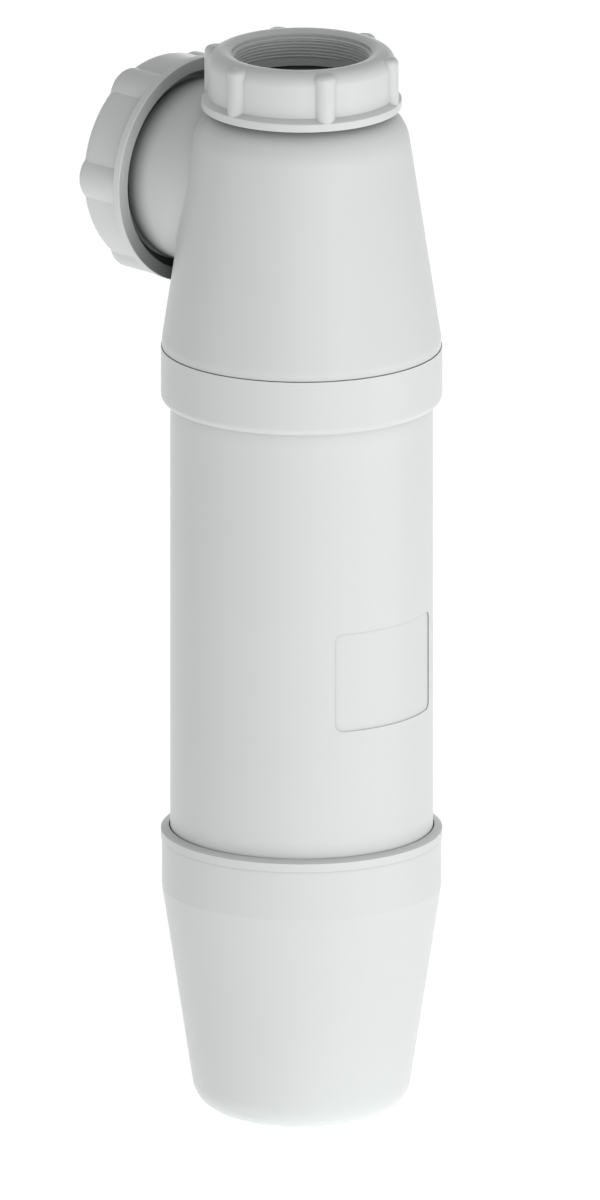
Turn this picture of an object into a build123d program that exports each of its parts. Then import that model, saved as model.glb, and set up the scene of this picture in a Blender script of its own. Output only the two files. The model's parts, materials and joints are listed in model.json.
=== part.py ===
from build123d import *
from math import asin, atan, cos, degrees, sqrt
import os

# Condensate trap: a tall bottle trap in moulded white plastic. All sizes are in millimetres.
# Origin at the centre of the cup's flat base, +Z up, side outlet towards +Y, label panel towards -Y.

# Tube, and the coarse screwed joints at both of its ends
tube_radius = 37.5
tube_wall = 3.0
screw_depth = 1.1
screw_clearance = 0.35
socket_depth = 13.5
spigot_chamfer = 0.8
taper = 0.152

# Flat gaskets at the ledges of the two sockets
gasket_thickness = 2.0
gasket_clearance = 0.15

# Cup
cup_wall = 2.3
cup_taper_height = 65.7
cup_band_height = 16.7
cup_socket_wall = 2.0
cup_base_fillet = 9.4
cup_lip_height = 2.4
cup_lip_step = 0.28
cup_rim_rise = 0.9

# Body
body_length = 154.1
collar_height = 16.2
collar_wall = 2.3
collar_fillet = 2.4
label_above_spigot = 49.4
label_width = 37.8
label_height = 29.0
label_corner = 2.3
label_depth = 0.3

# Head
seam_gap = 0.2
hood_land = 2.3
hood_land_round = 9.0
hood_height = 71.9
hood_wall = 2.5
shoulder_fillet = 13.1
neck_radius = 18.9

# Dip tube with its flange and O-ring
dip_tube_radius = 15.0
dip_tube_wall = 1.8
dip_tube_length = 201.0
dip_tube_clearance = 0.15
dip_tube_chamfer = 0.5
dip_flange_radius = 20.4
dip_flange_thickness = 1.2
o_ring_cord = 1.6

# Inlet nut, for a 1 1/4 inch pipe thread, and its washer
inlet_thread_radius = 20.955
inlet_relief_step = 0.45
inlet_relief_height = 4.8
inlet_wall_radius = 26.86
inlet_mouth_depth = 10.65
inlet_lip_thickness = 1.5
inlet_lip_clearance = 0.3
inlet_lip_play = 0.25
inlet_recess_depth = 1.55
inlet_recess_clearance = 0.9
inlet_rib_radius = 3.35
inlet_rib_inset = 1.65
inlet_rib_drop = 0.55
inlet_rib_fillet = 1.9
washer_thickness = 1.65
washer_bore_radius = 15.5

# Outlet branch with a compression joint for a 40 mm pipe
pipe_radius = 20.0
pipe_clearance = 0.25
pipe_stop_step = 1.95
pipe_stop_position = 36.0
branch_end = 51.0
branch_neck_radius = 26.3
branch_root_fillet = 1.2
branch_thread_radius = 26.87
branch_thread_depth = 1.48
branch_thread_length = 7.5
branch_clearance = 0.4
seal_cone_length = 3.8
seal_cone_step = 2.6
seal_clearance = 0.2
seal_seat_radius = 24.4
seal_flange_thickness = 2.9
slip_ring_thickness = 1.5

# Outlet nut
outlet_nut_overlap = 10.0
outlet_wall_radius = 31.0
outlet_relief_radius = 29.16
outlet_relief_depth = 3.3
outlet_end_wall = 3.6
outlet_pocket_radius = 24.8
outlet_rim_inner_radius = 24.6
outlet_hole_clearance = 0.6
outlet_hole_chamfer = 0.8
outlet_rib_radius = 7.8
outlet_rib_inset = 6.2
outlet_rib_drop = 0.65
outlet_rib_fillet = 2.6

# Form that both nuts share
nut_flange_step = 1.75
nut_flange_thickness = 2.36
nut_flange_cone = 1.26
nut_flange_round = 0.3
nut_rim_radius = 4.25
nut_rib_count = 6

# Radii of the screwed joints
bore_radius = tube_radius - tube_wall
spigot_radius = tube_radius - screw_depth
socket_radius = tube_radius + screw_clearance
cup_radius = socket_radius + cup_socket_wall
collar_radius = socket_radius + collar_wall

# Levels from the base up
cup_rim = cup_taper_height + cup_band_height
cup_ledge = cup_rim - socket_depth
body_bottom = cup_ledge + gasket_thickness
collar_top = body_bottom + body_length
collar_ledge = collar_top - socket_depth
head_bottom = collar_ledge + gasket_thickness
hood_bottom = collar_top + seam_gap
shoulder_top = hood_bottom + hood_height
inlet_lip_bottom = shoulder_top + inlet_lip_play
inlet_lip_top = inlet_lip_bottom + inlet_lip_thickness
neck_top = inlet_lip_top + inlet_lip_play
inlet_nut_bottom = inlet_lip_bottom - inlet_recess_depth
inlet_nut_top = neck_top + dip_flange_thickness + washer_thickness + inlet_mouth_depth
outlet_height = inlet_nut_bottom - branch_clearance - branch_neck_radius

# Places along the outlet's axis
outlet_nut_start = branch_end - outlet_nut_overlap
seal_end = branch_end + seal_flange_thickness
slip_ring_end = seal_end + slip_ring_thickness
outlet_nut_end = slip_ring_end + seal_clearance + outlet_end_wall

# The hood's side is a cone that leans in by the taper; the shoulder is an arc tangent to it.
lean = atan(taper)
hood_radius = cup_radius
shoulder_centre_z = shoulder_top - shoulder_fillet
shoulder_cone_radius = hood_radius - taper * (shoulder_centre_z - hood_bottom - hood_land)
shoulder_centre_radius = shoulder_cone_radius - shoulder_fillet / cos(lean)


def shoulder_radius(height):
    """Radius of the shoulder's arc at a height near its top."""
    return shoulder_centre_radius + sqrt(shoulder_fillet**2 - (height - shoulder_centre_z) ** 2)


def axial_section(face):
    """Plane through a face's axis: x is the distance from the axis and y the distance along it."""
    return Plane(origin=face.origin, x_dir=face.x_dir, z_dir=-face.y_dir)


def flat_ring(face, inner_radius, outer_radius, thickness):
    """Flat ring that stands on a face."""
    with BuildPart() as ring:
        with BuildSketch(face):
            Circle(outer_radius)
            Circle(inner_radius, mode=Mode.SUBTRACT)
        extrude(amount=thickness)
    return ring.part


def grip_rib(face, radius, end, end_fillet):
    """Round rib that starts inside a nut's flange; its far end is rounded."""
    with BuildPart() as rib:
        with BuildSketch(face.offset(nut_flange_thickness / 2)):
            Circle(radius)
        extrude(amount=end - nut_flange_thickness / 2)
        fillet(rib.edges().sort_by(Axis(face.origin, face.z_dir))[-1], end_fillet)
    return rib.part


def nut_blank(face, wall_radius, height, rim_inner_radius, rib, rib_inset):
    """Outside of a hand nut: flange at the face, round rim at the far end, grip ribs sunk in the wall."""
    rim_centre = (wall_radius - nut_rim_radius, height - nut_rim_radius)
    rim_sweep = 90 + degrees(asin((rim_centre[0] - rim_inner_radius) / nut_rim_radius))
    flange_radius = wall_radius + nut_flange_step
    with BuildPart() as blank:
        with BuildSketch(axial_section(face)) as section:
            with BuildLine():
                rim = CenterArc(rim_centre, nut_rim_radius, 0, rim_sweep)
                Polyline(
                    rim @ 0,
                    (wall_radius, nut_flange_thickness + nut_flange_cone),
                    (flange_radius, nut_flange_thickness),
                    (flange_radius, 0),
                    (0, 0),
                    (0, (rim @ 1).Y),
                    rim @ 1,
                )
            make_face()
            fillet(section.vertices().group_by(Axis.X)[-1], nut_flange_round)
        revolve(axis=Axis(face.origin, face.z_dir))
        with Locations(face):
            with PolarLocations(wall_radius - rib_inset, nut_rib_count):
                add(rib.moved(Location(face).inverse()))
    return blank.part


# Cup: a tapered beaker with a screwed socket and a small lip round its rim
cone_foot_radius = cup_radius - taper * cup_taper_height
with BuildPart() as cup:
    with BuildSketch(Plane.XZ) as cup_outside:
        with BuildLine():
            Polyline(
                (0, 0),
                (cone_foot_radius, 0),
                (cup_radius, cup_taper_height),
                (cup_radius, cup_rim - cup_lip_height),
                (cup_radius + cup_lip_step, cup_rim - cup_lip_height),
                (cup_radius + cup_lip_step, cup_rim),
                (socket_radius, cup_rim + cup_rim_rise),
                (0, cup_rim + cup_rim_rise),
                close=True,
            )
        make_face()
        foot = cup_outside.vertices().sort_by_distance((cone_foot_radius, 0))[0]
        fillet(foot, cup_base_fillet)
    revolve()
    inner_foot_radius = cone_foot_radius - cup_wall * (1 / cos(lean) - taper)
    wall_meets_bore = cup_wall + (bore_radius - inner_foot_radius) / taper
    with BuildSketch(Plane.XZ) as cup_inside:
        with BuildLine():
            Polyline(
                (0, cup_wall),
                (inner_foot_radius, cup_wall),
                (bore_radius, min(wall_meets_bore, cup_ledge - gasket_thickness)),
                (bore_radius, cup_ledge),
                (socket_radius, cup_ledge),
                (socket_radius, cup_rim + cup_rim_rise),
                (0, cup_rim + cup_rim_rise),
                close=True,
            )
        make_face()
        inner_foot = cup_inside.vertices().sort_by_distance((inner_foot_radius, cup_wall))[0]
        fillet(inner_foot, cup_base_fillet - cup_wall)
    revolve(mode=Mode.SUBTRACT)

# Body: the long tube, screwed spigot below, screwed socket in the collar on top
collar_bottom = collar_top - collar_height
spigot_shoulder = body_bottom + socket_depth - gasket_thickness - cup_lip_height / 2
label_middle = body_bottom + label_above_spigot + label_height / 2
with BuildPart() as trap_body:
    with BuildSketch(Plane.XZ) as body_section:
        with BuildLine():
            Polyline(
                (bore_radius, body_bottom),
                (spigot_radius - spigot_chamfer, body_bottom),
                (spigot_radius, body_bottom + spigot_chamfer),
                (spigot_radius, spigot_shoulder),
                (tube_radius, spigot_shoulder + screw_depth),
                (tube_radius, collar_bottom),
                (collar_radius, collar_bottom),
                (collar_radius, collar_top),
                (socket_radius, collar_top),
                (socket_radius, collar_ledge),
                (bore_radius, collar_ledge),
                close=True,
            )
        make_face()
        collar_corner = body_section.vertices().sort_by_distance((collar_radius, collar_bottom))[0]
        fillet(collar_corner, collar_fillet)
    revolve()
    # The label panel is cut through the front wall, then the wall behind it is put back.
    with BuildSketch(Plane.XZ):
        with Locations((0, label_middle)):
            RectangleRounded(label_width, label_height, label_corner)
    extrude(amount=tube_radius, mode=Mode.SUBTRACT)
    with BuildSketch(Plane.XY.offset(label_middle - label_height)):
        Circle(tube_radius - label_depth)
        Circle(bore_radius, mode=Mode.SUBTRACT)
    extrude(amount=2 * label_height)

# Head: tapered hood with a round shoulder, inlet neck, screwed spigot and the side branch
inner_fillet = shoulder_fillet - hood_wall
inner_cone_radius = hood_radius - hood_wall / cos(lean)
wall_meets_spigot = hood_bottom + hood_land + max(inner_cone_radius - bore_radius, 0) / taper
neck_bore_radius = dip_tube_radius + dip_tube_clearance
seal_pocket_size = o_ring_cord + dip_tube_clearance
outlet_axis_plane = Plane(origin=(0, 0, outlet_height), x_dir=(1, 0, 0), z_dir=(0, 1, 0))
thread_root_radius = branch_thread_radius - branch_thread_depth
socket_bottom_radius = pipe_radius + pipe_clearance
seat_small_radius = seal_seat_radius - seal_cone_step
with BuildPart() as trap_head:
    with BuildSketch(Plane.XZ) as hood_section:
        with BuildLine():
            shoulder = CenterArc(
                (shoulder_centre_radius, shoulder_centre_z),
                shoulder_fillet,
                degrees(lean),
                90 - degrees(lean),
            )
            Polyline(
                shoulder @ 1,
                (0, shoulder_top),
                (0, head_bottom),
                (spigot_radius - spigot_chamfer, head_bottom),
                (spigot_radius, head_bottom + spigot_chamfer),
                (spigot_radius, hood_bottom),
                (hood_radius, hood_bottom),
                (hood_radius, hood_bottom + hood_land),
                shoulder @ 0,
            )
        make_face()
        land_top = hood_section.vertices().sort_by_distance((hood_radius, hood_bottom + hood_land))[0]
        fillet(land_top, hood_land_round)
    revolve()
    with BuildSketch(Plane.XY.offset(shoulder_centre_z)):
        Circle(neck_radius)
    extrude(amount=neck_top - shoulder_centre_z)
    with BuildSketch(outlet_axis_plane):
        Circle(branch_neck_radius)
    extrude(amount=branch_end - branch_thread_length)
    branch_root = trap_head.edges(Select.LAST).filter_by(GeomType.BSPLINE)
    fillet(branch_root, branch_root_fillet)
    with BuildSketch(outlet_axis_plane):
        Circle(thread_root_radius)
    extrude(amount=branch_end)
    # The inside, on straight cores: nowhere wider than the bore of the spigot below it
    with BuildSketch(Plane.XZ):
        with BuildLine():
            inner_shoulder = CenterArc(
                (shoulder_centre_radius, shoulder_centre_z),
                inner_fillet,
                degrees(lean),
                90 - degrees(lean),
            )
            Polyline(
                inner_shoulder @ 1,
                (0, shoulder_top - hood_wall),
                (0, head_bottom),
                (bore_radius, head_bottom),
                (bore_radius, wall_meets_spigot),
                inner_shoulder @ 0,
            )
        make_face()
    revolve(mode=Mode.SUBTRACT)
    with BuildSketch(Plane.XY.offset(shoulder_centre_z)):
        Circle(neck_bore_radius)
    extrude(amount=neck_top - shoulder_centre_z, mode=Mode.SUBTRACT)
    with BuildSketch(Plane.XY.offset(neck_top - seal_pocket_size)):
        Circle(neck_bore_radius + seal_pocket_size)
    extrude(amount=seal_pocket_size, mode=Mode.SUBTRACT)
    # Waterway, pipe socket and the cone that seats the seal
    with BuildSketch(axial_section(outlet_axis_plane)):
        with BuildLine():
            Polyline(
                (0, 0),
                (socket_bottom_radius - pipe_stop_step, 0),
                (socket_bottom_radius - pipe_stop_step, pipe_stop_position),
                (socket_bottom_radius, pipe_stop_position),
                (socket_bottom_radius, branch_end - seal_cone_length - seal_clearance),
                (seat_small_radius, branch_end - seal_cone_length - seal_clearance),
                (seal_seat_radius, branch_end),
                (0, branch_end),
                close=True,
            )
        make_face()
    revolve(axis=Axis(outlet_axis_plane.origin, outlet_axis_plane.z_dir), mode=Mode.SUBTRACT)

# Dip tube: hangs by its flange on the top of the neck
dip_tube_bore = dip_tube_radius - dip_tube_wall
dip_tube_bottom = neck_top - dip_tube_length
flange_top = neck_top + dip_flange_thickness
with BuildPart() as dip_tube:
    with BuildSketch(Plane.XZ):
        with BuildLine():
            Polyline(
                (dip_tube_bore, dip_tube_bottom),
                (dip_tube_radius - dip_tube_chamfer, dip_tube_bottom),
                (dip_tube_radius, dip_tube_bottom + dip_tube_chamfer),
                (dip_tube_radius, neck_top),
                (dip_flange_radius, neck_top),
                (dip_flange_radius, flange_top),
                (dip_tube_bore, flange_top),
                close=True,
            )
        make_face()
    revolve()

with BuildPart() as dip_tube_seal:
    with BuildSketch(Plane.XZ):
        with Locations((neck_bore_radius + seal_pocket_size / 2, neck_top - seal_pocket_size / 2)):
            Circle(o_ring_cord / 2)
    revolve()

# Flat gaskets: the washer in the inlet nut, and one on the ledge of each socket
washer_radius = inlet_thread_radius - gasket_clearance
inlet_gasket = flat_ring(Plane.XY.offset(flange_top), washer_bore_radius, washer_radius, washer_thickness)
ledge_ring_inner = bore_radius + gasket_clearance
ledge_ring_outer = socket_radius - gasket_clearance
body_gasket = flat_ring(Plane.XY.offset(collar_ledge), ledge_ring_inner, ledge_ring_outer, gasket_thickness)
cup_gasket = flat_ring(Plane.XY.offset(cup_ledge), ledge_ring_inner, ledge_ring_outer, gasket_thickness)

# Inlet nut: turns on the neck, with its lip held between the shoulder and the dip tube's flange
inlet_face = Plane.XY.offset(inlet_nut_bottom)
inlet_nut_height = inlet_nut_top - inlet_nut_bottom
inlet_recess_radius = shoulder_radius(inlet_nut_bottom) + inlet_recess_clearance
inlet_relief_radius = inlet_thread_radius + inlet_relief_step
inlet_lip_level = inlet_recess_depth + inlet_lip_thickness
inlet_rib = grip_rib(inlet_face, inlet_rib_radius, inlet_nut_height - inlet_rib_drop, inlet_rib_fillet)
with BuildPart() as inlet_nut:
    add(
        nut_blank(
            inlet_face,
            inlet_wall_radius,
            inlet_nut_height,
            inlet_thread_radius,
            inlet_rib,
            inlet_rib_inset,
        )
    )
    with BuildSketch(axial_section(inlet_face)):
        with BuildLine():
            Polyline(
                (0, 0),
                (inlet_recess_radius, 0),
                (inlet_recess_radius, inlet_recess_depth),
                (neck_radius + inlet_lip_clearance, inlet_recess_depth),
                (neck_radius + inlet_lip_clearance, inlet_lip_level),
                (inlet_relief_radius, inlet_lip_level),
                (inlet_relief_radius, inlet_lip_level + inlet_relief_height),
                (inlet_thread_radius, inlet_lip_level + inlet_relief_height),
                (inlet_thread_radius, inlet_nut_height),
                (0, inlet_nut_height),
                close=True,
            )
        make_face()
    revolve(axis=Axis.Z, mode=Mode.SUBTRACT)

# Outlet seal: a rubber ring with a flange, its cone in the branch's seat
outlet_mouth = outlet_axis_plane.offset(branch_end)
outlet_hole_radius = pipe_radius + outlet_hole_clearance
with BuildPart() as outlet_seal:
    with BuildSketch(axial_section(outlet_mouth)):
        with BuildLine():
            Polyline(
                (outlet_hole_radius, -seal_cone_length),
                (seat_small_radius - seal_clearance, -seal_cone_length),
                (seal_seat_radius - seal_clearance, 0),
                (seal_seat_radius - seal_clearance, seal_flange_thickness),
                (outlet_hole_radius, seal_flange_thickness),
                close=True,
            )
        make_face()
    revolve(axis=Axis(outlet_mouth.origin, outlet_mouth.z_dir))

outlet_slip_ring = flat_ring(
    outlet_axis_plane.offset(seal_end),
    outlet_hole_radius,
    outlet_pocket_radius - seal_clearance,
    slip_ring_thickness,
)

# Outlet nut: screwed on the branch, its end wall behind the slip ring
outlet_face = outlet_axis_plane.offset(outlet_nut_start)
outlet_nut_height = outlet_nut_end - outlet_nut_start
outlet_bore_radius = branch_thread_radius + screw_clearance
outlet_pocket_end = slip_ring_end + seal_clearance - outlet_nut_start
outlet_rib = grip_rib(
    outlet_face,
    outlet_rib_radius,
    outlet_nut_height - outlet_rib_drop,
    outlet_rib_fillet,
)
with BuildPart() as outlet_nut:
    add(
        nut_blank(
            outlet_face,
            outlet_wall_radius,
            outlet_nut_height,
            outlet_rim_inner_radius,
            outlet_rib,
            outlet_rib_inset,
        )
    )
    with BuildSketch(axial_section(outlet_face)):
        with BuildLine():
            Polyline(
                (0, 0),
                (outlet_relief_radius, 0),
                (outlet_relief_radius, outlet_relief_depth),
                (outlet_bore_radius, outlet_relief_depth),
                (outlet_bore_radius, outlet_nut_overlap + seal_clearance),
                (outlet_pocket_radius, outlet_nut_overlap + seal_clearance),
                (outlet_pocket_radius, outlet_pocket_end),
                (outlet_hole_radius, outlet_pocket_end),
                (outlet_hole_radius, outlet_nut_height - outlet_hole_chamfer),
                (outlet_hole_radius + outlet_hole_chamfer, outlet_nut_height),
                (0, outlet_nut_height),
                close=True,
            )
        make_face()
    revolve(axis=Axis(outlet_face.origin, outlet_face.z_dir), mode=Mode.SUBTRACT)

pieces = {
    "trap_head": trap_head.part,
    "trap_body": trap_body.part,
    "cup": cup.part,
    "dip_tube": dip_tube.part,
    "dip_tube_seal": dip_tube_seal.part,
    "inlet_nut": inlet_nut.part,
    "inlet_gasket": inlet_gasket,
    "outlet_nut": outlet_nut.part,
    "outlet_seal": outlet_seal.part,
    "outlet_slip_ring": outlet_slip_ring,
    "body_gasket": body_gasket,
    "cup_gasket": cup_gasket,
}
os.makedirs("parts", exist_ok=True)
for name, piece in pieces.items():
    piece.label = name
    export_step(piece, f"parts/{name}.step")
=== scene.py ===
import json
from collections import namedtuple
from math import cos, pi, radians, sin, sqrt

import bpy
from mathutils import Matrix, Vector


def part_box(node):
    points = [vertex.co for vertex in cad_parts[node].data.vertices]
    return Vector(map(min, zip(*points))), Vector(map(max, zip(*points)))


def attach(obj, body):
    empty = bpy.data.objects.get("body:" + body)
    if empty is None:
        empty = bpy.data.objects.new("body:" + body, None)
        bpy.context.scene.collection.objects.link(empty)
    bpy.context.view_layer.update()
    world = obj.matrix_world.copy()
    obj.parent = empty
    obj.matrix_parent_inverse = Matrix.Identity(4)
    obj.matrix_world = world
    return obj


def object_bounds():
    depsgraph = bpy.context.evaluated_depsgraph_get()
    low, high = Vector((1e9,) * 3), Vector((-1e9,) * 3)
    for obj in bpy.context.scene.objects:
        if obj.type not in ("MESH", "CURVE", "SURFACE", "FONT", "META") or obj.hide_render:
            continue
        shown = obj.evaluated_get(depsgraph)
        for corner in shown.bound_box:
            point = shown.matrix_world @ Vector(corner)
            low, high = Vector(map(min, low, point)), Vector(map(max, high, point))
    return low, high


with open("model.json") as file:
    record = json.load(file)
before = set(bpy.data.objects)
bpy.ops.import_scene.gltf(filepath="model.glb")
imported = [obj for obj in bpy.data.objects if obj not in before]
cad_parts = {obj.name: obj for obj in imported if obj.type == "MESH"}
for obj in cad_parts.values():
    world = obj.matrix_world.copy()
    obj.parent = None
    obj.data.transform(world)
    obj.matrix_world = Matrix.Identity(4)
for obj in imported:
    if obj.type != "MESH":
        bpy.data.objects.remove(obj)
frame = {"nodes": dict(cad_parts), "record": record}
cad_low, cad_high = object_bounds()

# Condensate trap in white moulded plastic. Threads and view are in millimetres, which MM turns into metres.
# Materials and the studio are in metres.
MM = 0.001

# Threads: radius at the root and at the crest, pitch, width of the ridge at its foot and at its crest, and
# the turn in degrees in which its ends fade out
Thread = namedtuple("Thread", "root crest pitch foot_width crest_width fade")
OUTLET_PITCH = 2.309
COARSE_PITCH = 4.0
INLET_THREAD = Thread(19.7, 19.35, 0.947, 0.74, 0.46, 20)
BRANCH_THREAD = Thread(25.39, 26.87, OUTLET_PITCH, 1.7, 0.5, 40)
OUTLET_NUT_THREAD = Thread(27.22, 25.95, OUTLET_PITCH, 1.5, 0.5, 40)
SPIGOT_THREAD = Thread(36.4, 37.45, COARSE_PITCH, 2.1, 1.0, 35)
SOCKET_THREAD = Thread(37.85, 36.8, COARSE_PITCH, 2.1, 1.0, 35)

# Where the threads run: below the inlet nut's top, back from the branch's end, and up from a spigot's end
INLET_THREAD_BELOW_TOP = 2.15
INLET_THREAD_TURNS = 5.75
BRANCH_THREAD_FROM_END = 7.0
BRANCH_THREAD_LENGTH = 6.0
OUTLET_NUT_THREAD_LENGTH = 4.9
COARSE_THREAD_FROM_END = 2.2
SPIGOT_THREAD_LENGTH = 6.4
SOCKET_THREAD_LENGTH = 6.2

# How deep a ridge's foot lies in the wall, and the bevel on its crest, at most a quarter of the crest's
# width. The bevel's lower corner stands out sideways by the share BEVEL_FLARE of it.
RIDGE_SUNK = 0.25
RIDGE_BEVEL = 0.12
BEVEL_FLARE = 0.2

# Sleeve that lines the inlet nut, and how it lies in the nut
MOUTH_RADIUS = 20.05
UNDERCUT_RADIUS = 20.4
SLEEVE_ABOVE_GASKET = 0.3
SLEEVE_IN_WALL = 0.3
SLEEVE_BACK_BELOW_TOP = 1.0
SLEEVE_BELOW_RIM = 0.01

# Steps in the sleeve's wall, as heights from the thread's upper end: the land there, whose chamfer is as
# wide as it is high, the undercut and the mouth
LAND_FOOT = -0.4
LAND_LOW = -0.1
LAND_CHAMFER = 0.1
UNDERCUT_LOW = 0.4
UNDERCUT_HIGH = 0.8
MOUTH_LOW = 0.85

# The inlet nut's round rim, which the sleeve goes on with, in to the mouth
RIM_RADIUS = 4.25
RIM_CENTRE_RADIUS = 22.61
RIM_STEPS = 6

# Fineness of the added meshes, and the angle in degrees from which their edges are sharp
STEPS_PER_TURN = 96
RING_STEPS = 192
SHARP_ANGLE = 32

# Colours, linear: of the plastic pieces, the rubber, the floor where it is darker and paler, and light
WHITE_COLOUR = (0.79, 0.8145, 0.8065)
# The cup's and the outlet nut's colours are the white above made lighter: painted light
CUP_COLOUR = (0.802, 0.827, 0.819)
OUTLET_COLOUR = (0.837, 0.863, 0.855)
INNER_COLOUR = (0.78, 0.79, 0.785)
RUBBER_COLOUR = (0.016, 0.0165, 0.017)
FLOOR_COLOURS = (0.89, 0.89, 0.89), (0.91, 0.91, 0.91)
WHITE_LIGHT = (1.0, 1.0, 1.0, 1.0)

# How far the plastic's roughness swings to each side
ROUGHNESS_SWING = 0.05

# Bloom on the rubber: the colour times a gain, and a little grey
BLOOM_GAIN = 1.6
BLOOM_GREY = 0.004

# Shade in the plastic's gaps: how near the other wall is, and where the shade changes. It changes in a band
# below the cup's rim, about the face of the outlet nut's flange, and between two places along the branch.
SHADE_REACH = 0.005
BRANCH_SHADE_REACH = 0.0062
CUP_BAND = (0.02, 0.002)
FLANGE_BAND = 0.001
BRANCH_BAND = (0.018, 0.028)

# Sockets of a Mix node for colours
MIX_FACTOR = 0
MIX_FIRST = 6
MIX_SECOND = 7
MIX_RESULT = 2

# Camera, from the photograph: parallel projection from the front left, a little above. VIEW_HEIGHT is what
# the frame shows from top to bottom.
VIEW_AZIMUTH = -45.0
VIEW_ELEVATION = 15.62
VIEW_HEIGHT = 342.2
VIEW_TARGET = Vector((-0.32, 0.32, 149.5))
VIEW_DISTANCE = 1500.0

# Floor, just below the base. The camera sees its own white, and a share of its light and shadow.
FLOOR_HALF = 1.6
FLOOR_HEIGHT = -0.0002
FLOOR_GLOW = 0.92
FLOOR_LIT_SHARE = 0.35

# Strength of the surround, as the object gets it and as the camera and gloss see it
WORLD_LEVEL = 0.3
SEEN_LEVEL = 1.0

# Lamps: name, azimuth and elevation in degrees, distance, width and height in metres, power in watts
SOFTBOXES = (
    ("left", -115.0, 5.0, 1.5, 0.5, 0.5, 0.95),
    ("camera_side", -45.0, 5.0, 1.5, 0.5, 0.5, 2.45),
    ("front", -10.0, 5.0, 1.5, 0.5, 0.5, 4.6),
    ("front_high", 8.0, 45.0, 1.5, 0.5, 0.5, 0.6),
    ("low_right", 25.0, -8.0, 0.75, 0.3, 0.1, 0.6),
    ("back", 135.0, 5.0, 1.5, 0.3, 0.5, 1.5),
)

# Light panel on the floor, which shines up as a white floor under strong light does. FACING_UP is the
# quaternion of half a turn about x.
PANEL_SIDE = 2.4
PANEL_HEIGHT = 0.0004
PANEL_POWER = 7.1
FACING_UP = (0.0, 1.0, 0.0, 0.0)


def mount(name):
    """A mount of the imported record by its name."""
    return next(m for m in frame["record"]["mounts"] if m["name"] == name)


def box_mm(node):
    """Lowest and highest corner of a CAD node in millimetres."""
    low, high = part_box(node)
    return low / MM, high / MM


# Materials

# A number that changes from first to last between the places start and end on an axis
Along = namedtuple("Along", "axis start end first last")


class Graph:
    """Small helper that adds and links the nodes of one material."""

    def __init__(self, name):
        self.material = bpy.data.materials.new(name)
        self.material.use_nodes = True
        self.tree = self.material.node_tree
        self.tree.nodes.clear()
        self.output = self.add("ShaderNodeOutputMaterial")

    def add(self, kind, **values):
        node = self.tree.nodes.new(kind)
        for key, value in values.items():
            setattr(node, key, value)
        return node

    def link(self, source, target):
        self.tree.links.new(source, target)

    def feed(self, value, target):
        """Links a socket to the target, or sets it to a plain number."""
        if isinstance(value, bpy.types.NodeSocket):
            self.link(value, target)
        else:
            target.default_value = value

    def noise(self, coordinates, scale, detail):
        node = self.add("ShaderNodeTexNoise")
        node.inputs["Scale"].default_value = scale
        node.inputs["Detail"].default_value = detail
        node.inputs["Roughness"].default_value = 0.55
        self.link(coordinates, node.inputs["Vector"])
        return node.outputs["Fac"]

    def ramp(self, factor, low, high):
        """Colour ramp between two (position, colour) stops."""
        node = self.add("ShaderNodeValToRGB")
        for element, (position, colour) in zip(node.color_ramp.elements, (low, high)):
            element.position = position
            element.color = (*colour, 1.0)
        self.link(factor, node.inputs["Fac"])
        return node.outputs["Color"]

    def spread(self, factor, low, high, start=0.0, end=1.0):
        """Maps a factor from start to end to the numbers from low to high; low may be a socket."""
        node = self.add("ShaderNodeMapRange")
        node.inputs["From Min"].default_value = start
        node.inputs["From Max"].default_value = end
        self.feed(low, node.inputs["To Min"])
        node.inputs["To Max"].default_value = high
        self.link(factor, node.inputs["Value"])
        return node.outputs["Result"]

    def level(self, place, value):
        """A plain number as it is, and an Along as a socket."""
        if not isinstance(value, Along):
            return value
        node = self.add("ShaderNodeSeparateXYZ")
        self.link(place, node.inputs["Vector"])
        return self.spread(node.outputs[value.axis], value.first, value.last, value.start, value.end)

    def times(self, colour, factor):
        """A colour multiplied by a number."""
        multiply = self.add("ShaderNodeMix", data_type="RGBA", blend_type="MULTIPLY")
        multiply.inputs[MIX_FACTOR].default_value = 1.0
        self.link(colour, multiply.inputs[MIX_FIRST])
        self.link(factor, multiply.inputs[MIX_SECOND])
        return multiply.outputs[MIX_RESULT]

    def with_painted_shade(self, colour, reach, darkest, open_share):
        """The colour with painted shade, darker in the narrow gaps and corners that are closer than reach.

        Where the share open_share of the view is free, the colour is whole again.
        """
        gap_occlusion = self.add("ShaderNodeAmbientOcclusion", samples=6)
        self.feed(reach, gap_occlusion.inputs["Distance"])
        return self.times(colour, self.spread(gap_occlusion.outputs["AO"], darkest, 1.0, 0.0, open_share))

    def bump(self, height, strength, distance, normal=None):
        node = self.add("ShaderNodeBump")
        node.inputs["Strength"].default_value = strength
        node.inputs["Distance"].default_value = distance
        self.link(height, node.inputs["Height"])
        if normal is not None:
            self.link(normal, node.inputs["Normal"])
        return node.outputs["Normal"]


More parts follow.
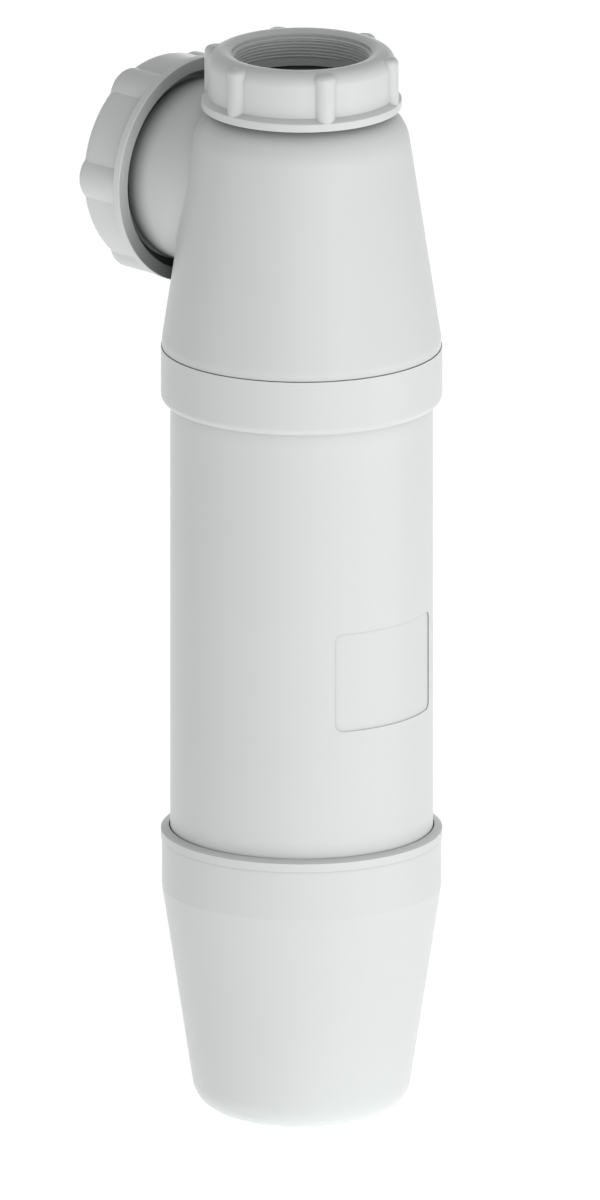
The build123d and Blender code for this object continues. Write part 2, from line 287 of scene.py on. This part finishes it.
def moulded_plastic(
    name, colour, gap_shade, reach=SHADE_REACH, open_share=1.0, flow_shade=0.985, roughness=0.44
):
    """Satin injection-moulded plastic: a hint of flow mottling and a fine spark-eroded grain.

    The colour falls, as painted shade, to the share that the third argument gives where gaps and corners
    closer than reach shut it in, and is whole from open_share on. That share and reach are numbers, or an
    Along.
    """
    graph = Graph(name)
    shader = graph.add("ShaderNodeBsdfPrincipled")
    place = graph.add("ShaderNodeTexCoord").outputs["Object"]
    flow = graph.noise(place, scale=22.0, detail=2.0)
    darker = tuple(c * flow_shade for c in colour)
    mottled = graph.ramp(flow, (0.3, darker), (0.7, colour))
    # Painted shade in the gaps and corners
    shaded = graph.with_painted_shade(mottled, graph.level(place, reach), graph.level(place, gap_shade), open_share)
    graph.link(shaded, shader.inputs["Base Color"])
    cloud = graph.noise(place, scale=160.0, detail=4.0)
    rough = graph.spread(cloud, roughness - ROUGHNESS_SWING, roughness + ROUGHNESS_SWING)
    graph.link(rough, shader.inputs["Roughness"])
    grain = graph.noise(place, scale=2200.0, detail=2.0)
    waves = graph.bump(flow, strength=0.25, distance=0.0003)
    graph.link(graph.bump(grain, strength=0.12, distance=0.00003, normal=waves), shader.inputs["Normal"])
    shader.inputs["IOR"].default_value = 1.49
    shader.inputs["Specular IOR Level"].default_value = 0.38
    graph.link(shader.outputs["BSDF"], graph.output.inputs["Surface"])
    return graph.material


def rubber(name, colour):
    """Matt moulded rubber with a dusty bloom and a fine grain."""
    graph = Graph(name)
    shader = graph.add("ShaderNodeBsdfPrincipled")
    place = graph.add("ShaderNodeTexCoord").outputs["Object"]
    bloom = graph.noise(place, scale=90.0, detail=5.0)
    dusty = tuple(c * BLOOM_GAIN + BLOOM_GREY for c in colour)
    graph.link(graph.ramp(bloom, (0.35, colour), (0.75, dusty)), shader.inputs["Base Color"])
    grain = graph.noise(place, scale=1500.0, detail=3.0)
    graph.link(graph.spread(grain, low=0.55, high=0.72), shader.inputs["Roughness"])
    graph.link(graph.bump(grain, strength=0.25, distance=0.00005), shader.inputs["Normal"])
    shader.inputs["Specular IOR Level"].default_value = 0.35
    graph.link(shader.outputs["BSDF"], graph.output.inputs["Surface"])
    return graph.material


cup_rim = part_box("cup")[1].z
flange_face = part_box("outlet_nut")[0].y
# Where the painted shade changes: on the cup only near its rim, deeper past the face of the outlet nut's
# flange, and reaching further out along the branch
below_rim = Along("Z", cup_rim - CUP_BAND[0], cup_rim - CUP_BAND[1], first=1.0, last=0.15)
in_outlet_nut = Along("Y", flange_face - FLANGE_BAND, flange_face + FLANGE_BAND, first=0.3, last=0.18)
along_branch = Along("Y", *BRANCH_BAND, first=SHADE_REACH, last=BRANCH_SHADE_REACH)

# The plastic looks, which differ mostly in how deep the painted shade in their gaps and corners goes
white = moulded_plastic("white_plastic_look", WHITE_COLOUR, gap_shade=0.25)
open_white = moulded_plastic("open_plastic_look", WHITE_COLOUR, gap_shade=0.8)
cup_white = moulded_plastic("cup_plastic_look", CUP_COLOUR, gap_shade=below_rim)
body_white = moulded_plastic("body_plastic_look", WHITE_COLOUR, gap_shade=0.4)
head_white = moulded_plastic("head_plastic_look", WHITE_COLOUR, gap_shade=in_outlet_nut, reach=along_branch)
# The outlet nut's painted shade reaches 30 mm and goes down to black: a painted shadow of the hood on its
# flange's face
outlet_white = moulded_plastic(
    "outlet_plastic_look", OUTLET_COLOUR, gap_shade=0.0, reach=0.03, open_share=0.88
)
inner_white = moulded_plastic(
    "inner_plastic_look", INNER_COLOUR, gap_shade=0.6, flow_shade=0.97, roughness=0.5
)
black = rubber("black_rubber_look", RUBBER_COLOUR)

look_of_node = {
    "trap_head": head_white,
    "trap_body": body_white,
    "cup": cup_white,
    "inlet_nut": white,
    "outlet_nut": outlet_white,
    "dip_tube": inner_white,
    "outlet_slip_ring": inner_white,
    "dip_tube_seal": black,
    "inlet_gasket": black,
    "body_gasket": black,
    "cup_gasket": black,
    "outlet_seal": black,
}
for node, look in look_of_node.items():
    mesh = frame["nodes"][node].data
    mesh.materials.clear()
    mesh.materials.append(look)


# Threads

# Local frames of the rings: about the trap's axis, and about the outlet's, where z runs out along +Y
outlet_height = mount("outlet")["pos_m"][2] / MM
ABOUT_TRAP = Matrix.Identity(4)
ABOUT_OUTLET = Matrix.Translation((0.0, 0.0, outlet_height)) @ Matrix(
    ((1, 0, 0, 0), (0, 0, 1, 0), (0, -1, 0, 0), (0, 0, 0, 1))
)


def add_piece(name, vertices, faces, look, body):
    """Makes a smooth mesh piece from vertices in millimetres, and lets it ride on a body."""
    mesh = bpy.data.meshes.new(name)
    mesh.from_pydata([vertex * MM for vertex in vertices], [], faces)
    mesh.materials.append(look)
    mesh.shade_smooth()
    mesh.set_sharp_from_angle(angle=radians(SHARP_ANGLE))
    piece = bpy.data.objects.new(name, mesh)
    bpy.context.scene.collection.objects.link(piece)
    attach(piece, body)


def helix(name, place, thread, start, length, look, body):
    """Adds a thread's ridge, on a wall at the thread's root, that fades out at both ends.

    It runs from start to start + length along the local z. Its foot is sunk in the wall.
    """
    outwards = 1 if thread.crest > thread.root else -1
    half_foot = thread.foot_width / 2
    half_crest = thread.crest_width / 2
    steps = round(length / thread.pitch * STEPS_PER_TURN)
    vertices, faces = [], []
    for step in range(steps + 1):
        angle = 2 * pi * step / STEPS_PER_TURN
        height = start + thread.pitch * step / STEPS_PER_TURN
        from_end = min(step, steps - step) / STEPS_PER_TURN * 360
        share = min(1.0, from_end / thread.fade)
        rise = share * share * (3 - 2 * share)
        top = thread.root + (thread.crest - thread.root) * rise
        half_top = half_crest + (half_foot - half_crest) * (1 - rise)
        bevel = min(RIDGE_BEVEL, half_crest / 2) * rise
        section = (
            (thread.root - outwards * RIDGE_SUNK, -half_foot),
            (thread.root, -half_foot),
            (top - outwards * bevel, -half_top - bevel * BEVEL_FLARE),
            (top, -half_top + bevel),
            (top, half_top - bevel),
            (top - outwards * bevel, half_top + bevel * BEVEL_FLARE),
            (thread.root, half_foot),
            (thread.root - outwards * RIDGE_SUNK, half_foot),
        )
        for radius, offset in section:
            vertices.append(place @ Vector((radius * cos(angle), radius * sin(angle), height + offset)))
    count = len(section)
    for step in range(steps):
        for k in range(count):
            a = step * count + k
            b = step * count + (k + 1) % count
            faces.append((a, b, b + count, a + count))
    faces.append(tuple(reversed(range(count))))
    faces.append(tuple(range(steps * count, (steps + 1) * count)))
    if outwards > 0:
        faces = [tuple(reversed(face)) for face in faces]
    add_piece(name, vertices, faces, look, body)


def turned(name, place, outline, look, body):
    """Adds a turned ring from a closed outline of (radius, height) points, anticlockwise."""
    vertices, faces = [], []
    count = len(outline)
    for step in range(RING_STEPS):
        angle = 2 * pi * step / RING_STEPS
        for radius, height in outline:
            vertices.append(place @ Vector((radius * cos(angle), radius * sin(angle), height)))
    for step in range(RING_STEPS):
        after = (step + 1) % RING_STEPS
        for k in range(count):
            n = (k + 1) % count
            faces.append((step * count + k, after * count + k, after * count + n, step * count + n))
    add_piece(name, vertices, faces, look, body)


def rim_stretch(nut_top, nut_bore):
    """The inlet nut's rim from its bore in to the sleeve's mouth, as (radius, height) points of its arc."""
    centre_height = nut_top - RIM_RADIUS
    points = []
    for step in reversed(range(RIM_STEPS + 1)):
        radius = MOUTH_RADIUS + (nut_bore - MOUTH_RADIUS) * step / RIM_STEPS
        height = centre_height + sqrt(RIM_RADIUS**2 - (RIM_CENTRE_RADIUS - radius) ** 2)
        points.append((radius, height - SLEEVE_BELOW_RIM))
    return points


def make_inlet_thread():
    """Adds the sleeve that lines the inlet nut, and the fine rings on it."""
    nut_top = box_mm("inlet_nut")[1].z
    nut_bore = mount("inlet")["dims"]["r_mm"]
    bottom = box_mm("inlet_gasket")[1].z + SLEEVE_ABOVE_GASKET
    thread_top = nut_top - INLET_THREAD_BELOW_TOP
    outline = [
        (INLET_THREAD.root, bottom),
        (nut_bore + SLEEVE_IN_WALL, bottom),
        (nut_bore + SLEEVE_IN_WALL, nut_top - SLEEVE_BACK_BELOW_TOP),
        *rim_stretch(nut_top, nut_bore),
        (MOUTH_RADIUS, thread_top + MOUTH_LOW),
        (UNDERCUT_RADIUS, thread_top + UNDERCUT_HIGH),
        (UNDERCUT_RADIUS, thread_top + UNDERCUT_LOW),
        (INLET_THREAD.crest + LAND_CHAMFER, thread_top + LAND_CHAMFER),
        (INLET_THREAD.crest, thread_top),
        (INLET_THREAD.crest, thread_top + LAND_LOW),
        (INLET_THREAD.root, thread_top + LAND_FOOT),
    ]
    turned("inlet_nut_sleeve", ABOUT_TRAP, outline, open_white, "inlet_nut")
    length = INLET_THREAD.pitch * INLET_THREAD_TURNS
    start = thread_top - length
    helix(
        "inlet_nut_thread",
        ABOUT_TRAP,
        INLET_THREAD,
        start,
        length,
        open_white,
        "inlet_nut",
    )


def make_outlet_threads():
    """Adds the side branch's thread, and the outlet nut's, half a pitch on in its grooves."""
    start = box_mm("trap_head")[1].y - BRANCH_THREAD_FROM_END
    helix(
        "branch_thread",
        ABOUT_OUTLET,
        BRANCH_THREAD,
        start,
        BRANCH_THREAD_LENGTH,
        head_white,
        "head",
    )
    helix(
        "outlet_nut_thread",
        ABOUT_OUTLET,
        OUTLET_NUT_THREAD,
        start + OUTLET_PITCH / 2,
        OUTLET_NUT_THREAD_LENGTH,
        outlet_white,
        "outlet_nut",
    )


def make_coarse_threads(spigot_node, spigot_body, socket_node, socket_body):
    """Adds a spigot's thread, and that of the socket it screws into, half a pitch on in its grooves."""
    start = box_mm(spigot_node)[0].z + COARSE_THREAD_FROM_END
    helix(
        f"{spigot_body}_spigot_thread",
        ABOUT_TRAP,
        SPIGOT_THREAD,
        start,
        SPIGOT_THREAD_LENGTH,
        white,
        spigot_body,
    )
    helix(
        f"{socket_node}_socket_thread",
        ABOUT_TRAP,
        SOCKET_THREAD,
        start + COARSE_PITCH / 2,
        SOCKET_THREAD_LENGTH,
        white,
        socket_body,
    )


make_inlet_thread()
make_outlet_threads()
make_coarse_threads("trap_head", "head", "trap_body", "body")
make_coarse_threads("trap_body", "body", "cup", "cup")


# Studio: floor, surround, lamps and camera


def seen_share(tree):
    """Number that is 1 where a camera, glossy or transmitted ray sees the surface.

    It is 0 for the rays that carry the surface's light to others.
    """
    ray = tree.nodes.new("ShaderNodeLightPath")
    total = ray.outputs["Is Camera Ray"]
    for kind in ("Is Glossy Ray", "Is Transmission Ray"):
        either = tree.nodes.new("ShaderNodeMath")
        either.operation = "ADD"
        either.use_clamp = True
        tree.links.new(total, either.inputs[0])
        tree.links.new(ray.outputs[kind], either.inputs[1])
        total = either.outputs["Value"]
    return total


def floor_material():
    """Pale floor: seen as a white ground that still holds a soft share of its light and shadow."""
    graph = Graph("floor_look")
    seen = seen_share(graph.tree)
    diffuse = graph.add("ShaderNodeBsdfDiffuse")
    place = graph.add("ShaderNodeTexCoord").outputs["Object"]
    darker, paler = FLOOR_COLOURS
    pale = graph.ramp(graph.noise(place, scale=6.0, detail=3.0), (0.3, darker), (0.7, paler))
    graph.link(graph.times(pale, graph.spread(seen, 1.0, FLOOR_LIT_SHARE)), diffuse.inputs["Color"])
    glow = graph.add("ShaderNodeEmission")
    glow.inputs["Color"].default_value = WHITE_LIGHT
    graph.link(graph.spread(seen, 0.0, FLOOR_GLOW), glow.inputs["Strength"])
    both = graph.add("ShaderNodeAddShader")
    graph.link(diffuse.outputs["BSDF"], both.inputs[0])
    graph.link(glow.outputs["Emission"], both.inputs[1])
    graph.link(both.outputs["Shader"], graph.output.inputs["Surface"])
    return graph.material


def make_floor():
    """Adds the square floor, which isn't part of the object."""
    mesh = bpy.data.meshes.new("floor")
    sides = ((-1, -1), (1, -1), (1, 1), (-1, 1))
    corners = [(x * FLOOR_HALF, y * FLOOR_HALF, FLOOR_HEIGHT) for x, y in sides]
    mesh.from_pydata(corners, [], [(0, 1, 2, 3)])
    mesh.materials.append(floor_material())
    floor = bpy.data.objects.new("floor", mesh)
    bpy.context.scene.collection.objects.link(floor)


def background(tree, strength):
    """Node of an even white surround."""
    node = tree.nodes.new("ShaderNodeBackground")
    node.inputs["Color"].default_value = WHITE_LIGHT
    node.inputs["Strength"].default_value = strength
    return node


def make_world():
    """Even studio surround, white to the camera and to gloss."""
    world = bpy.data.worlds.new("studio")
    bpy.context.scene.world = world
    world.use_nodes = True
    tree = world.node_tree
    tree.nodes.clear()
    output = tree.nodes.new("ShaderNodeOutputWorld")
    mix = tree.nodes.new("ShaderNodeMixShader")
    tree.links.new(seen_share(tree), mix.inputs["Fac"])
    tree.links.new(background(tree, WORLD_LEVEL).outputs["Background"], mix.inputs[1])
    tree.links.new(background(tree, SEEN_LEVEL).outputs["Background"], mix.inputs[2])
    tree.links.new(mix.outputs["Shader"], output.inputs["Surface"])


def direction(azimuth, elevation):
    """Unit vector from the object towards a viewer at that azimuth and elevation, in degrees."""
    a, e = radians(azimuth), radians(elevation)
    return Vector((sin(a) * cos(e), -cos(a) * cos(e), sin(e)))


def area_lamp(name, width, height, power, location, rotation):
    """Adds an area lamp that the camera doesn't see. It shines along its own -Z."""
    lamp = bpy.data.lights.new(name, "AREA")
    lamp.shape = "RECTANGLE"
    lamp.size = width
    lamp.size_y = height
    lamp.energy = power
    holder = bpy.data.objects.new(name, lamp)
    holder.location = location
    holder.rotation_mode = "QUATERNION"
    holder.rotation_quaternion = rotation
    holder.visible_camera = False
    bpy.context.scene.collection.objects.link(holder)


def softbox(name, azimuth, elevation, distance, width, height, power):
    """Adds an area lamp that looks at the middle of the object from a direction in degrees."""
    back = direction(azimuth, elevation)
    middle = (cad_low + cad_high) / 2
    area_lamp(name, width, height, power, middle + back * distance, back.to_track_quat("Z", "Y"))


def make_camera():
    """Adds the camera, at the photograph's angle, and makes it the scene's."""
    data = bpy.data.cameras.new("camera")
    data.type = "ORTHO"
    data.ortho_scale = VIEW_HEIGHT * MM
    data.clip_start = 0.01
    data.clip_end = 10.0
    camera = bpy.data.objects.new("camera", data)
    back = direction(VIEW_AZIMUTH, VIEW_ELEVATION)
    camera.location = (VIEW_TARGET + back * VIEW_DISTANCE) * MM
    camera.rotation_mode = "QUATERNION"
    camera.rotation_quaternion = back.to_track_quat("Z", "Y")
    bpy.context.scene.collection.objects.link(camera)
    bpy.context.scene.camera = camera


make_floor()
make_world()
for lamp in SOFTBOXES:
    softbox(*lamp)
area_lamp("floor_panel", PANEL_SIDE, PANEL_SIDE, PANEL_POWER, (0.0, 0.0, PANEL_HEIGHT), FACING_UP)
make_camera()
bpy.context.scene.view_settings.view_transform = "Standard"
